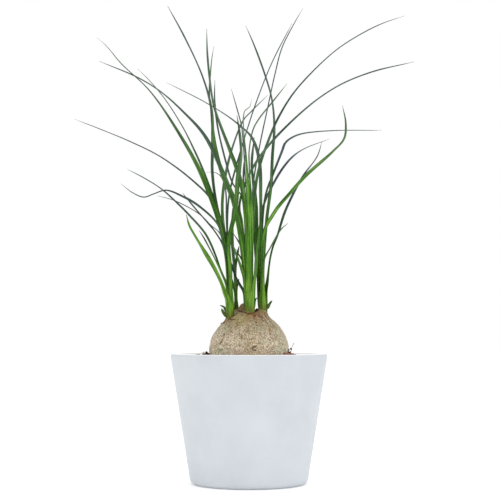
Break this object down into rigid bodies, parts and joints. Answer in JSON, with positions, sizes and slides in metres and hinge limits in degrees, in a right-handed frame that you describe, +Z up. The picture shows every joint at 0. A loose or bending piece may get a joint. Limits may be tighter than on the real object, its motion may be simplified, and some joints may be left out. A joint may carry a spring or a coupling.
{
  "type": "potted ponytail palm",
  "caption": "Young ponytail palm with a swollen woody base and arching strap leaves, growing in soil in a plain tapered round pot.",
  "frame": {"origin": "centre of the pot's underside, where the pot stands", "axes": "+Z up along the pot's axis, +Y away from the viewer, +X to the viewer's right"},
  "size_m": [0.3042, 0.1901, 0.4504],
  "materials": {
    "pot": "satin white",
    "soil": "matte, crumbly",
    "bulb": "matte, finely fissured bark",
    "leaf": "satin, with fine lengthwise veins"
  },
  "bodies": {
    "root": {"pot": "pot", "soil": "soil", "bulb": "bulb", "shoot_left": "leaf", "shoot_back_left": "leaf", "shoot_centre": "leaf", "shoot_right": "leaf"}
  },
  "joints": []
}
